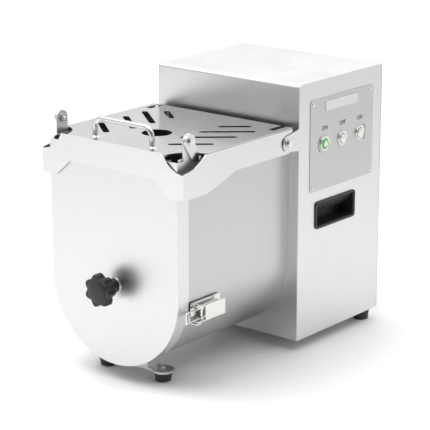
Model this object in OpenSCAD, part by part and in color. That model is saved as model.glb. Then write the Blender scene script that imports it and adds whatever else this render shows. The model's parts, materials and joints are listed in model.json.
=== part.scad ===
// Countertop trough mixer: U-shaped trough with a slotted safety lid and a powered column.
// +Z is up and the floor is z = 0. The front faces -Y and the controls are on the +X side.

/* [Column] */
// Width over the side panels
col_w = 308; // [290:1:380]
// Depth from the front face to the back cover
col_d = 245; // [240:1:300]
// Height from the underside to the top
col_h = 450; // [445:1:560]
// Sheet thickness of the panels
sheet = 1.5; // [1:0.1:2]
// Outer radius of the bend between front and top
bend_r = 6; // [3:0.5:12]

/* [Trough] */
// Outer radius of the round bottom
trough_r = 134; // [112:1:140]
// Thickness of the trough sheet
trough_wall = 2; // [1.5:0.1:3]
// Length from the column to the trough's front edge
trough_l = 289.5; // [240:0.5:350]
// Height of the paddle axis above the column's underside
axis_z = 145; // [140:1:160]

/* [Front cap] */
// Thickness of the cap's sheet
cap_t = 2.5; // [2:0.1:4]
// Depth of the flange that reaches back round the trough
cap_flange = 27; // [15:1:40]
// Thickness of the rubber gasket
gasket_t = 4; // [3:0.5:6]
// Gap between the cap's flange and the trough
cap_gap = 0.4; // [0.3:0.1:1]
// Radius of the ear round each hinge bolt
ear_r = 13; // [11:0.5:16]

/* [Lid] */
// Height of the lid's top above the column's underside
lid_z = 381; // [375:1:420]
// Width over the side skirts
lid_w = 303; // [292:1:303]
// Gap between the cap and the front skirt
skirt_gap = 1.5; // [1:0.5:4]
// Distance from the hinge axis to the column
pivot_y = 29; // [29:0.5:36]
// Distance from the lid's top down to the hinge axis
pivot_drop = 25; // [22:0.5:25]
// Radius of the hinge bolts
pivot_r = 4; // [3:0.5:5]
// Width of the pouring slots
slot_w = 11; // [6:0.5:14]
// Distance between neighbouring slots
slot_pitch = 49; // [44:1:56]
// Radius of the fill hole
fill_r = 25; // [15:1:30]
// Distance from the column to the fill hole's centre
fill_y = 185; // [170:1:190]

/* [Drive] */
// Radius of the paddle shaft
shaft_r = 18; // [16:1:22]
// Radius of the output journal in its bearings
journal_r = 15; // [12:0.5:15]
// Radius of the countershaft and input journals
side_shaft_r = 8.5; // [7:0.5:9]
// Tooth module of the output stage
out_module = 2.5; // [2.3:0.1:2.6]
// Tooth module of the input stage
in_module = 2; // [1.8:0.1:2.1]
// Clearance between a paddle's tip and the trough
paddle_gap = 5; // [3:0.5:12]
// Width of a paddle blade
blade_w = 50; // [30:1:54]
// Pitch radius of the motor pulley
motor_pulley_r = 20; // [17:0.5:22]
// Speed reduction of the belt
belt_ratio = 2.5; // [2:0.1:2.6]

/* [Controls] */
// Radius of a button cap
button_r = 8.5; // [7:0.5:10]
// Distance between neighbouring buttons
button_pitch = 52; // [40:1:60]
// Travel of a button
button_travel = 2.5; // [1.5:0.5:3]
// Radius of the star knob over its lobes
knob_r = 28; // [22:1:34]
// Radius of the knob's stud
stud_r = 6; // [5:0.5:6.5]
// Travel of the knob when it is unscrewed
knob_travel = 6; // [3:0.5:7]

/* [Feet] */
// Height of the column's feet
foot_h = 20; // [18:1:30]
// Thickness of the front foot bar
bar_t = 4; // [3:0.5:5]

/* [Fits] */
// Radial clearance of a shaft or pin that turns
run_fit = 0.05; // [0.03:0.01:0.08]
// Gap between moving pieces that don't touch
gap = 0.5; // [0.3:0.1:0.8]
// Shortening of each gear tooth's thickness at the pitch circle
backlash = 0.3; // [0.2:0.05:0.4]

/* [Hidden] */
$fn = 64;
eps = 0.01;
// Room for the weld between a bracket and the curved sheet it sits on
weld = 0.1;

steel = [0.82, 0.82, 0.83];
bright = [0.93, 0.93, 0.94];
black = [0.05, 0.05, 0.05];
cast = [0.55, 0.57, 0.6];
green = [0.25, 0.8, 0.35];

// Overall places, with the front face of the column at y = 0 and its underside at z = 0
half_w = col_w / 2;
cap_in_y = -trough_l - gasket_t;
cap_y = cap_in_y - cap_t;
cap_r = trough_r + cap_gap + cap_t;
cap_top_z = lid_z - 9;
skirt_in_y = cap_y - skirt_gap;
skirt_y = skirt_in_y - sheet;
lid_half = lid_w / 2;
lid_under_z = lid_z - sheet;
rim_z = lid_z - 5;
pivot_z = lid_z - pivot_drop;
ear_y = -trough_l + 21.5;
ear_z = lid_z + 21;
knob_face_y = cap_y - 45;
gland_l = 22;
machine_front = knob_face_y;
machine_back = col_d + gland_l;
mid_y = (machine_front + machine_back) / 2;
pivot_head = 6;

// Puts the column's frame into the part's own frame
module machine() { translate([0, -mid_y, foot_h]) children(); }

// Extrudes a flat (x, z) outline between two places along Y
module along_y(y0, y1) {
    translate([0, y1, 0]) rotate([90, 0, 0]) linear_extrude(y1 - y0) children();
}
// Extrudes a flat (y, z) outline between two places along X
module along_x(x0, x1) {
    translate([x0, 0, 0]) rotate([90, 0, 90]) linear_extrude(x1 - x0) children();
}
module rod_y(r, y0, y1) { translate([0, y1, 0]) rotate([90, 0, 0]) cylinder(r = r, h = y1 - y0); }
module rod_x(r, x0, x1) { translate([x0, 0, 0]) rotate([0, 90, 0]) cylinder(r = r, h = x1 - x0); }
module box(low, high) { translate(low) cube(high - low); }
module both_sides() { children(); mirror([1, 0, 0]) children(); }
// Rectangle with round corners, centred
module rounded(w, h, r) {
    square([w - 2 * r, h], center = true);
    square([w, h - 2 * r], center = true);
    for (x = [-1, 1], y = [-1, 1]) translate([x * (w / 2 - r), y * (h / 2 - r)]) circle(r);
}
// Slot with round ends, starting at the origin and running along X
module slot2d(l, w) {
    translate([w / 2, -w / 2]) square([l - w, w]);
    translate([w / 2, 0]) circle(w / 2);
    translate([l - w / 2, 0]) circle(w / 2);
}
// U outline in (x, z): a half circle below the paddle axis, straight sides up to a top
module u_shape(r, top) {
    translate([0, axis_z]) circle(r, $fn = 128);
    translate([-r, axis_z]) square([2 * r, top - axis_z]);
}

// ---- Column ----
inner_half = half_w - sheet;
hub_hole_r = 30;
back_y = col_d - sheet;

// Outline of the wrap in (y, z): front face, round bend, top
module wrap_outline(inset) {
    r = bend_r - inset;
    difference() {
        union() {
            translate([inset, 2]) square([col_d, col_h - 2 - bend_r]);
            translate([bend_r, 2]) square([col_d, col_h - 2 - inset]);
            translate([bend_r, col_h - bend_r]) circle(r);
        }
        translate([col_d - sheet - gap, 0]) square([2 * col_d, 2 * col_h]);
    }
}
module column_wrap() machine() color(steel) difference() {
    along_x(-inner_half, inner_half) difference() {
        wrap_outline(0);
        translate([0, -sheet]) wrap_outline_hollow();
    }
    translate([0, 0, axis_z]) rod_y(hub_hole_r, -1, sheet + 1);
}
module wrap_outline_hollow() {
    r = bend_r - sheet;
    translate([sheet, -2 * sheet]) square([2 * col_d, col_h - bend_r + 3 * sheet]);
    translate([bend_r, -2 * sheet]) square([2 * col_d, col_h + 2 * sheet]);
    translate([bend_r, col_h - bend_r + sheet]) circle(r);
}

// Hinge ear of a side panel, in (y, z)
pivot_ear_r = 14;
module pivot_ear_outline() {
    translate([-pivot_y, pivot_z]) circle(pivot_ear_r);
    polygon([[-pivot_y, pivot_z - pivot_ear_r], [0, pivot_z - pivot_ear_r - 4],
        [10, pivot_z - pivot_ear_r - 4], [10, pivot_z + pivot_ear_r + 5],
        [0, pivot_z + pivot_ear_r + 5], [-pivot_y, pivot_z + pivot_ear_r]]);
}
module side_panel_outline() {
    square([col_d - sheet - gap, col_h - bend_r]);
    translate([bend_r, 0]) square([col_d - sheet - gap - bend_r, col_h]);
    translate([bend_r, col_h - bend_r]) circle(bend_r);
    pivot_ear_outline();
}
grip_w = 118;
grip_h = 49;
grip_y = 107;
grip_z = 214;
grip_lip = 4;
grip_depth = 30;
panel_y = 124;
panel_z = 338;
panel_w = 186;
panel_h = 161;
switch_r = 11;
module grip_hole() {
    translate([grip_y, grip_z]) rounded(grip_w - 2 * grip_lip, grip_h - 2 * grip_lip, 4);
}
function button_y(i) = panel_y + (i - 1) * button_pitch;

module side_panel(with_controls) along_x(inner_half, half_w) difference() {
    side_panel_outline();
    grip_hole();
    translate([-pivot_y, pivot_z]) circle(pivot_r);
    if (with_controls) for (i = [0 : 2]) translate([button_y(i), panel_z]) circle(switch_r);
    if (with_controls) panel_screw_places() circle(1.5);
}
module left_side_panel() machine() color(steel) mirror([1, 0, 0]) side_panel(false);
module right_side_panel() machine() color(steel) side_panel(true);

vent_count = 9;
vent_pitch = 12;
gland_x = -90;
gland_z = 60;
gland_r = 9;
cable_r = 4;
vent_l = 90;
vent_w = 5;
low_vent_count = 5;
cover_screw_r = 2;
module cover_screw_places() {
    for (x = [-1, 1], z = [20, col_h / 2, col_h - 20]) translate([x * (half_w - 12), z]) children();
}
module back_cover() machine() color(steel) difference() {
    along_y(back_y, col_d) difference() {
        translate([-half_w, 0]) square([col_w, col_h]);
        for (x = [-60, 60], i = [0 : vent_count - 1])
            translate([x - 45, col_h - 60 - i * vent_pitch]) slot2d(vent_l, vent_w);
        for (i = [0 : low_vent_count - 1]) translate([10, 50 + i * vent_pitch]) slot2d(vent_l, vent_w);
        translate([gland_x, gland_z]) circle(gland_r - 1);
        cover_screw_places() circle(cover_screw_r);
    }
}
base_flange = 14;
module base_plate() machine() color(steel) difference() {
    union() {
        box([-inner_half, sheet, 0], [inner_half, back_y - gap, 2]);
        both_sides() box([inner_half - sheet, sheet, 0], [inner_half, back_y - gap, base_flange]);
        box([-inner_half, back_y - gap - sheet, 0], [inner_half, back_y - gap, base_flange]);
    }
    rear_foot_places() translate([0, 0, -1]) cylinder(r = foot_screw_r, h = 5);
    for (i = [0 : 5]) translate([20, 60 + i * vent_pitch, -1]) linear_extrude(5) slot2d(vent_l - 10, vent_w);
}

// ---- Feet ----
foot_x = 135;
foot_y = 222;
bar_foot_x = 61;
bar_y = -trough_l + 44.5;
foot_screw_r = 2.5;
foot_top_r = 16;
foot_bottom_r = 12.5;
bar_foot_h = foot_h - bar_t;
module rear_foot_places() { both_sides() translate([foot_x, foot_y, 0]) children(); }
module bar_foot_places() { both_sides() translate([bar_foot_x, bar_y, -bar_t]) children(); }
module foot(h) difference() {
    translate([0, 0, -h]) cylinder(r1 = foot_bottom_r, r2 = foot_top_r, h = h);
    translate([0, 0, -h - 1]) cylinder(r = 5.5, h = 6);
    translate([0, 0, -h]) cylinder(r = foot_screw_r, h = h + 1);
}
module foot_screw(h, grip) {
    translate([0, 0, -h + 5]) cylinder(r = foot_screw_r, h = h - 5 + grip + 5);
    translate([0, 0, -h + 2.5]) cylinder(r = 4.5, h = 2.5);
    translate([0, 0, grip]) cylinder(r = 4.5, h = 3.5, $fn = 6);
}
module rubber_feet() machine() color(black) {
    rear_foot_places() foot(foot_h);
    bar_foot_places() foot(bar_foot_h);
}
module foot_screws() machine() color(bright) {
    rear_foot_places() foot_screw(foot_h, 2);
    bar_foot_places() foot_screw(bar_foot_h, bar_t);
}
// Flat bar with round tabs over the front feet and a saddle welded under the trough
module front_foot_bar() machine() color(steel) difference() {
    union() {
        translate([0, bar_y, -bar_t]) linear_extrude(bar_t) {
            square([2 * bar_foot_x, 26], center = true);
            both_sides() translate([bar_foot_x, 0]) circle(19);
        }
        box([-38, bar_y - 13, -eps], [38, bar_y + 13, axis_z - trough_r + 8]);
    }
    translate([0, 0, axis_z]) rod_y(trough_r + weld, bar_y - 20, bar_y + 20, $fn = 360);
    bar_foot_places() translate([0, 0, -1]) cylinder(r = foot_screw_r, h = bar_t + 2);
}

// ---- Trough ----
seal_r = 26;
module trough_shell() machine() color(steel) along_y(-trough_l, -rear_wall_t) difference() {
    u_shape(trough_r, rim_z);
    u_shape(trough_r - trough_wall, rim_z + 10);
}
rear_wall_t = 3;
// The rear wall stays below the arc that the lid's rear edge swings through
rear_wall_top = pivot_z - 14;
module trough_rear_wall() machine() color(steel) along_y(-rear_wall_t, 0) difference() {
    u_shape(trough_r, rear_wall_top);
    translate([0, axis_z]) circle(seal_r);
}
gasket_w = 7;
module cap_gasket() machine() color(black) along_y(cap_in_y, -trough_l) difference() {
    u_shape(trough_r, rim_z - 8);
    u_shape(trough_r - gasket_w, rim_z + 10);
}

// ---- Front cap, its hinge and its bearing hub ----
hub_r = 22;
hinge_bolt_r = 3;
hub_l = 20;
stud_hole_r = stud_r + run_fit;
cap_return = 10;
module front_cap() machine() color(bright) difference() {
    union() {
        along_y(cap_y, cap_in_y) u_shape(cap_r, cap_top_z);
        along_y(cap_in_y - eps, cap_y + cap_flange) difference() {
            u_shape(cap_r, cap_top_z);
            u_shape(trough_r + cap_gap, cap_top_z + 10);
        }
        box([-trough_r + 20, cap_in_y - eps, cap_top_z - 1.5],
            [trough_r - 20, cap_in_y + cap_return, cap_top_z]);
        both_sides() along_x(cap_r - cap_t, cap_r) {
            translate([ear_y, ear_z]) circle(ear_r);
            translate([ear_y - ear_r, cap_top_z - 10]) square([2 * ear_r, ear_z - cap_top_z + 10]);
        }
    }
    translate([0, 0, axis_z]) rod_y(stud_hole_r, cap_y - 1, cap_in_y + 1);
    translate([0, 0, ear_z]) translate([0, ear_y, 0]) rod_x(hinge_bolt_r + run_fit, -cap_r - 1, cap_r + 1);
}
link_t = 3;
link_in = cap_r + gap;
link_out = link_in + link_t;
link_screw_y = ear_y + 24;
link_screw_z = lid_z - 9;
module link_outline() {
    translate([ear_y, ear_z]) circle(ear_r - 0.5);
    polygon([[ear_y - 11, ear_z - 6], [ear_y + 5, lid_z - 10], [ear_y + 16, lid_z - 13],
        [link_screw_y + 9, lid_z - 13], [link_screw_y + 9, lid_z - 6], [ear_y + 19, lid_z - 4],
        [ear_y + 12, ear_z - 3]]);
}
module cap_hinge_links() machine() color(bright) both_sides() difference() {
    union() {
        along_x(link_in, link_out) link_outline();
        box([trough_r, ear_y + 16, lid_z - 13], [link_in + eps, link_screw_y + 9, lid_z - 5.5]);
    }
    translate([0, ear_y, ear_z]) rod_x(hinge_bolt_r, link_in - 1, link_out + 1);
}
module cap_hinge_bolts() machine() color(bright) both_sides() {
    translate([0, ear_y, ear_z]) {
        rod_x(hinge_bolt_r, cap_r - cap_t - 4, link_out + 1);
        translate([link_out, 0, 0]) rotate([0, 90, 0]) cylinder(r = 6.3, h = 4.5, $fn = 6);
        translate([cap_r - cap_t - gap - 4.5, 0, 0]) rotate([0, 90, 0]) cylinder(r = 6.3, h = 4.5, $fn = 6);
    }
    translate([link_out, link_screw_y, link_screw_z]) rotate([0, 90, 0]) cylinder(r = 3, h = 1.8);
}
module bearing_hub() machine() color(cast) translate([0, 0, axis_z]) difference() {
    union() {
        rod_y(hub_r, cap_in_y, cap_in_y + hub_l - 6);
        rod_y(hub_r - 6, cap_in_y, cap_in_y + hub_l);
    }
    rod_y(stud_hole_r, cap_in_y - 1, cap_in_y + hub_l + 1);
}

// ---- Lid ----
lid_rear_y = -pivot_y + 13;
corner_r = 53.2;
corner_x = lid_half + 10.5;
corner_y = skirt_y + 6.5;
notch_w = 12;
notch_l = 36;
handle_r = 4.5;
handle_x = 61;
handle_y = skirt_y + 31;
handle_top = 32;
handle_bend = 16;
// Inner ends and lengths of the four slots of one side, front to rear
slot_in_x = [66, 50, 50, 50];
slot_l = [74, 94, 94, 57];
slot_front_y = -235;
slot_angle = 40;
seam = 0.8;
skirt_low = lid_z - 67;
skirt_high = lid_z - 43;
// Scoops in the front and side walls that leave room for the cap's ears
module corner_cuts() {
    both_sides() {
        translate([lid_half, 0, lid_z + 19]) rod_y(45, skirt_y - 1, skirt_in_y + eps);
        translate([0, skirt_y, lid_z + 58]) rod_x(82, lid_half - sheet - eps, lid_half + 1);
    }
}
module rear_notches() {
    both_sides() box([trough_r - notch_w / 2, lid_rear_y - notch_l, lid_z - 20],
        [trough_r + notch_w / 2, lid_rear_y + 1, lid_z + 1]);
}
module lid_plate() machine() color(steel) difference() {
    box([-lid_half, skirt_in_y, lid_under_z], [lid_half, lid_rear_y, lid_z]);
    both_sides() translate([corner_x, corner_y, lid_z - 30]) cylinder(r = corner_r, h = 60);
    rear_notches();
    translate([0, -fill_y, lid_z - 10]) cylinder(r = fill_r, h = 20);
    both_sides() for (i = [0 : 3])
        translate([slot_in_x[i], slot_front_y + i * slot_pitch, lid_z - 10])
            rotate(slot_angle) linear_extrude(20) slot2d(slot_l[i], slot_w);
}
module front_skirt_outline() polygon([[-lid_half, lid_z + 4], [-lid_half, skirt_low],
    [-lid_half + 31, skirt_low], [-lid_half + 61, lid_z - 40], [lid_half - 61, lid_z - 40],
    [lid_half - 31, skirt_low], [lid_half, skirt_low], [lid_half, lid_z + 4]]);
skirt_end_r = 18;
module side_skirt_outline() difference() {
    union() {
        polygon([[skirt_y, lid_under_z - seam], [skirt_y, skirt_low], [skirt_y + 58, skirt_low],
            [skirt_y + 135, skirt_high], [-pivot_y, skirt_high], [-pivot_y, pivot_z],
            [-pivot_y + skirt_end_r, pivot_z], [lid_rear_y, lid_under_z - seam]]);
        translate([-pivot_y, pivot_z]) circle(skirt_end_r);
    }
    translate([-pivot_y, pivot_z]) circle(pivot_r + run_fit);
}
module lid_skirt() machine() color(bright) difference() {
    union() {
        along_y(skirt_y, skirt_in_y) front_skirt_outline();
        both_sides() along_x(lid_half - sheet, lid_half) side_skirt_outline();
        box([-lid_half + 40, skirt_in_y - eps, lid_under_z - sheet],
            [lid_half - 40, skirt_in_y + 8, lid_under_z]);
        both_sides() {
            box([lid_half - sheet - 9, skirt_y + 62, lid_under_z - sheet],
                [lid_half - sheet + eps, lid_rear_y - notch_l - 4, lid_under_z - seam]);
            box([lid_half - sheet - 9, skirt_y + 62, lid_under_z - sheet],
                [lid_half - sheet - seam, lid_rear_y - notch_l - 4, lid_under_z]);
        }
    }
    corner_cuts();
}
module lid_handle() machine() color(bright) translate([0, handle_y, lid_z]) {
    both_sides() {
        translate([handle_x, 0, 0]) cylinder(r = handle_r, h = handle_top - handle_bend);
        translate([handle_x - handle_bend, 0, handle_top - handle_bend]) rotate([90, 0, 0])
            rotate_extrude(angle = 90) translate([handle_bend, 0]) circle(handle_r);
    }
    translate([0, 0, handle_top]) rod_x(handle_r, handle_bend - handle_x, handle_x - handle_bend);
}
module lid_pivot_bolts() machine() color(bright) both_sides() translate([0, -pivot_y, pivot_z]) {
    rod_x(pivot_r, lid_half - 9, half_w + 1);
    translate([half_w, 0, 0]) rotate([0, 90, 0]) cylinder(r = 7.5, h = pivot_head, $fn = 6);
    translate([lid_half - sheet - gap - 5, 0, 0]) rotate([0, 90, 0]) cylinder(r = 7.5, h = 5, $fn = 6);
}
magnet_x = 60;
module lid_magnet() machine() color(black)
    box([magnet_x, lid_rear_y - 26, lid_under_z - 6], [magnet_x + 26, lid_rear_y - 14, lid_under_z]);
module lid_sensor() machine() color(black)
    box([magnet_x, sheet, lid_z - 14], [magnet_x + 26, sheet + 14, lid_z + 6]);

// ---- Draw latches ----
latch_z = 115.5;
latch_x = trough_r + 2;
lever_pivot_y = cap_y + 38;
lever_pivot_x = latch_x + 8;
lever_l = 66;
lever_pin_r = 2;
wire_r = 1.5;
bail_half = 8.5;
bail_pivot_y = lever_pivot_y + 12;
keeper_y = cap_y + 14;
bail_front_y = keeper_y - wire_r - 0.8;
bail_x = lever_pivot_x;
module latch_base() difference() {
    union() {
        box([latch_x, lever_pivot_y - 8, latch_z - 16], [latch_x + 1.5, lever_pivot_y + 68, latch_z + 19]);
        for (s = [-1, 1]) translate([0, 0, latch_z + s * 15])
            box([latch_x, lever_pivot_y - 6, -1.2], [lever_pivot_x + 5, lever_pivot_y + 6, 1.2]);
        for (y = [lever_pivot_y + 8, lever_pivot_y + 52])
            box([trough_r - 8, y, latch_z + 2], [latch_x + eps, y + 10, latch_z + 14]);
    }
    translate([lever_pivot_x, lever_pivot_y, latch_z - 20]) cylinder(r = lever_pin_r + run_fit, h = 40);
    translate([0, 0, axis_z]) rod_y(trough_r + weld, lever_pivot_y - 20, lever_pivot_y + 90, $fn = 360);
}
module latch_bases() machine() color(bright) both_sides() latch_base();
// Channel-shaped lever on its pin, with the pin of the bail across it
module latch_lever() {
    difference() {
        union() {
            box([lever_pivot_x + 4.5, lever_pivot_y + 16, latch_z - 13],
                [lever_pivot_x + 6, lever_pivot_y + lever_l, latch_z + 13]);
            for (s = [-1, 1]) translate([0, 0, latch_z + s * 12])
                box([lever_pivot_x - 3, lever_pivot_y - 3.5, -1],
                    [lever_pivot_x + 5, lever_pivot_y + lever_l - 12, 1]);
        }
        translate([lever_pivot_x, lever_pivot_y, latch_z - 20]) cylinder(r = lever_pin_r - eps, h = 40);
    }
    for (z = [latch_z - 18, latch_z + 10.6])
        translate([lever_pivot_x, lever_pivot_y, z]) cylinder(r = lever_pin_r, h = 7.4);
    translate([bail_x, bail_pivot_y, latch_z - 12]) cylinder(r = lever_pin_r, h = 24);
}
module latch_lever_right() machine() color(bright) latch_lever();
module latch_lever_left() machine() color(bright) mirror([1, 0, 0]) latch_lever();
// Wire loop from the lever's second pin round the front of the keeper
module latch_bail() {
    for (s = [-1, 1]) translate([bail_x, 0, latch_z + s * bail_half]) {
        difference() {
            union() {
                rod_y(wire_r, bail_front_y, bail_pivot_y - lever_pin_r);
                translate([0, bail_pivot_y, -wire_r - 0.3])
                    cylinder(r = lever_pin_r + 1.6, h = 2 * wire_r + 0.6);
            }
            translate([0, bail_pivot_y, -3]) cylinder(r = lever_pin_r + run_fit, h = 6);
        }
    }
    translate([bail_x, bail_front_y, latch_z - bail_half - wire_r - 0.2])
        cylinder(r = wire_r + 0.2, h = 2 * (bail_half + wire_r + 0.2));
}
module latch_bail_right() machine() color(bright) latch_bail();
module latch_bail_left() machine() color(bright) mirror([1, 0, 0]) latch_bail();
module latch_keepers() machine() color(bright) both_sides() difference() {
    union() {
        box([trough_r - 8, keeper_y, latch_z - 5.5], [bail_x + 3, keeper_y + 2, latch_z + 5.5]);
        box([trough_r - 8, keeper_y + 1, latch_z - 7], [cap_r + 2, keeper_y + 10, latch_z + 7]);
    }
    translate([0, 0, axis_z]) rod_y(cap_r + weld, keeper_y - 5, keeper_y + 20, $fn = 360);
}

// ---- Knob ----
washer_t = 2;
lobes = 7;
nose_end_y = cap_in_y + hub_l + 18;
knob_back_y = cap_y - washer_t;
lobe_w = 0.27 * knob_r;
module star_outline() difference() {
    union() {
        circle(knob_r - lobe_w);
        for (i = [0 : lobes - 1]) rotate(i * 360 / lobes) {
            translate([knob_r - lobe_w, 0]) circle(lobe_w);
            translate([0, -lobe_w]) square([knob_r - lobe_w, 2 * lobe_w]);
        }
    }
}
module star_knob() machine() color(black) translate([0, 0, axis_z]) difference() {
    union() {
        along_y(knob_face_y + 3, knob_face_y + 22) star_outline();
        rod_y(knob_r - 9, knob_face_y, knob_face_y + 22);
        rod_y(12, knob_face_y + 21, knob_back_y);
    }
    rod_y(stud_r, knob_face_y + 6, knob_back_y + 1);
}
module knob_stud() machine() color(bright) translate([0, 0, axis_z])
    rod_y(stud_r, knob_face_y + 6, nose_end_y);
module thrust_washer() machine() color(bright) translate([0, 0, axis_z]) difference() {
    rod_y(14, knob_back_y, cap_y);
    rod_y(stud_r + run_fit, knob_back_y - 1, cap_y + 1);
}

// ---- Paddle ----
shaft_front_y = nose_end_y - 14;
bush_l = 16;
bush_r = stud_r + 4;
coupling_y = -22;
pin_r = 4;
tang_r = 12;
shaft_back_y = -7;
socket_y = -44;
paddle_count = 4;
blade_t = 6;
tip_r = trough_r - trough_wall - paddle_gap;
arm_rod_r = 7;
blade_l = 50;
blade_in_r = tip_r - blade_l;
blade_root = 15;
collar_half = 40;
blade_pitch = 35;
paddle_first_y = -58;
paddle_last_y = shaft_front_y + 34;
module paddle_shaft() machine() color(bright) translate([0, 0, axis_z]) difference() {
    rod_y(shaft_r, shaft_front_y, shaft_back_y);
    rod_y(bush_r, shaft_front_y - 1, shaft_front_y + bush_l);
    rod_y(stud_r + 1, shaft_front_y, nose_end_y + 4);
    rod_y(tang_r + run_fit, socket_y, shaft_back_y + 1);
    box([-shaft_r - 1, coupling_y - pin_r - 0.3, -pin_r - 0.3],
        [shaft_r + 1, shaft_back_y + 1, pin_r + 0.3]);
}
module paddle_arms() machine() color(bright) translate([0, 0, axis_z])
    for (i = [0 : paddle_count - 1])
        translate([0, paddle_first_y + i * (paddle_last_y - paddle_first_y) / (paddle_count - 1), 0])
            rotate([0, 45 + i * 90, 0]) difference() {
                union() {
                    cylinder(r = arm_rod_r, h = blade_in_r + blade_root);
                    translate([0, 0, blade_in_r]) rotate(blade_pitch)
                        box([-blade_t / 2, -blade_w / 2, 0], [blade_t / 2, blade_w / 2, blade_l - 1.5]);
                }
                rod_y(shaft_r, -collar_half, collar_half);
            }
module front_bush() machine() color("peru") translate([0, 0, axis_z]) difference() {
    rod_y(bush_r, shaft_front_y, shaft_front_y + bush_l);
    rod_y(stud_hole_r, shaft_front_y - 1, shaft_front_y + bush_l + 1);
}

// ---- Gears ----
pressure = 20;
deg = 180 / PI;
function involute(a) = (tan(a) - a / deg) * deg;
// Half the angle that a tooth covers at radius r
function half_tooth(m, n, r) = let (rp = m * n / 2, rb = rp * cos(pressure))
    90 / n - backlash / (2 * rp) * deg + involute(pressure) - (r > rb ? involute(acos(rb / r)) : 0);
function flank(m, n) = [for (h = [-1.2, -0.5, 0, 0.5, 0.95]) let (r = m * (n / 2 + h)) [r, half_tooth(m, n, r)]];
function on_circle(r, a) = [r * cos(a), r * sin(a)];
function tooth(m, n, a) = let (f = flank(m, n), last = len(f) - 1) concat(
    [for (i = [0 : last]) on_circle(f[i][0], a - f[i][1])],
    [for (i = [0 : last]) on_circle(f[last - i][0], a + f[last - i][1])]);
function gear_points(m, n, a) = [for (i = [0 : n - 1]) each tooth(m, n, a + i * 360 / n)];
// Gear with one tooth centred on angle a, in (x, z)
module gear(m, n, a, y0, y1) along_y(y0, y1) polygon(gear_points(m, n, a));

out_teeth = 60;
out_pinion_teeth = 15;
in_teeth = 48;
in_pinion_teeth = 16;
out_distance = out_module * (out_teeth + out_pinion_teeth) / 2;
in_distance = in_module * (in_teeth + in_pinion_teeth) / 2;
side_x = -50;
side_z = axis_z + sqrt(out_distance * out_distance - side_x * side_x);
input_z = side_z + sqrt(in_distance * in_distance - side_x * side_x);
out_angle = atan2(side_z - axis_z, side_x);
in_angle = atan2(input_z - side_z, -side_x);

// ---- Gearbox ----
box_y = 12;
box_front_t = 14;
box_in_y = box_y + box_front_t;
box_back_y = 92;
cover_back_y = 106;
box_wall = 6;
out_gear_y = [30, 54];
in_gear_y = [66, 82];
bearing_w = 13;
small_bearing_w = 10;
out_bearing_r = journal_r + 12.5;
small_bearing_r = side_shaft_r + 9;
nose_y = 150;
out_room = out_module * (out_teeth / 2 + 1) + 6;
box_left = side_x - in_module * (in_teeth / 2 + 1) - 6 - box_wall;
box_right = out_room + box_wall;
box_low = axis_z - out_room - box_wall;
box_high = input_z + small_bearing_r + 6 + box_wall;
seal_back_y = 7;
module gearbox_outline(inset) translate([(box_left + box_right) / 2, (box_low + box_high) / 2])
    rounded(box_right - box_left - 2 * inset, box_high - box_low - 2 * inset, 16 - inset);
module at_output() translate([0, 0, axis_z]) children();
module at_side() translate([side_x, 0, side_z]) children();
module at_input() translate([0, 0, input_z]) children();

module gearbox_housing() machine() color(cast) difference() {
    union() {
        along_y(box_y, box_back_y) gearbox_outline(0);
        at_output() rod_y(seal_r + 4 - 0.5, sheet + eps, box_y + eps);
        at_output() rod_y(seal_r, -rear_wall_t, box_y + eps);
    }
    along_y(box_in_y, box_back_y + 1) gearbox_outline(box_wall);
    at_output() rod_y(seal_r - 4, -rear_wall_t - 1, seal_back_y);
    at_output() rod_y(journal_r + 1, -rear_wall_t, box_in_y + 1);
    at_output() rod_y(out_bearing_r, box_in_y - bearing_w, box_in_y + 1);
    at_side() rod_y(small_bearing_r, box_in_y - small_bearing_w, box_in_y + 1);
    at_input() rod_y(small_bearing_r, box_in_y - small_bearing_w, box_in_y + 1);
}
module gearbox_cover() machine() color(cast) difference() {
    union() {
        along_y(box_back_y, cover_back_y) gearbox_outline(0);
        at_input() rod_y(small_bearing_r + 6, cover_back_y - eps, nose_y);
        for (x = [box_left + 9, box_right - 9], z = [box_low + 9, box_high - 9])
            translate([x, 0, z]) rod_y(4.5, cover_back_y - eps, cover_back_y + 3.5);
    }
    at_output() rod_y(out_bearing_r, box_back_y - 1, box_back_y + bearing_w);
    at_side() rod_y(small_bearing_r, box_back_y - 1, box_back_y + small_bearing_w);
    at_input() rod_y(small_bearing_r, box_back_y - 1, box_back_y + small_bearing_w);
    at_input() rod_y(side_shaft_r + 1, box_back_y, nose_y + 1);
    at_input() rod_y(small_bearing_r, nose_y - small_bearing_w, nose_y + 1);
}
module bearing(r_in, r_out, y0, w) difference() {
    rod_y(r_out, y0, y0 + w);
    rod_y(r_in + run_fit, y0 - 1, y0 + w + 1);
    for (y = [y0 - eps, y0 + w - 0.8]) difference() {
        rod_y(r_out - 2.5, y, y + 0.8 + eps);
        rod_y(r_in + 2.5, y - 1, y + 2);
    }
}
module ball_bearings() machine() color(bright) {
    at_output() bearing(journal_r, out_bearing_r, box_in_y - bearing_w, bearing_w);
    at_output() bearing(journal_r, out_bearing_r, box_back_y, bearing_w);
    for (y = [box_in_y - small_bearing_w, box_back_y]) {
        at_side() bearing(side_shaft_r, small_bearing_r, y, small_bearing_w);
        at_input() bearing(side_shaft_r, small_bearing_r, y, small_bearing_w);
    }
    at_input() bearing(side_shaft_r, small_bearing_r, nose_y - small_bearing_w, small_bearing_w);
}
module shaft_seal() machine() color(black) at_output() difference() {
    rod_y(seal_r - 4, -rear_wall_t, seal_back_y);
    rod_y(journal_r + run_fit, -rear_wall_t - 1, seal_back_y + 1);
}
module output_shaft() machine() color(bright) at_output() {
    rod_y(journal_r, shaft_back_y + 1.5, box_back_y + bearing_w - 1);
    rod_y(tang_r, socket_y + 2, 0);
    translate([0, coupling_y, 0]) rod_x(pin_r, -shaft_r + 0.5, shaft_r - 0.5);
}
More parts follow.
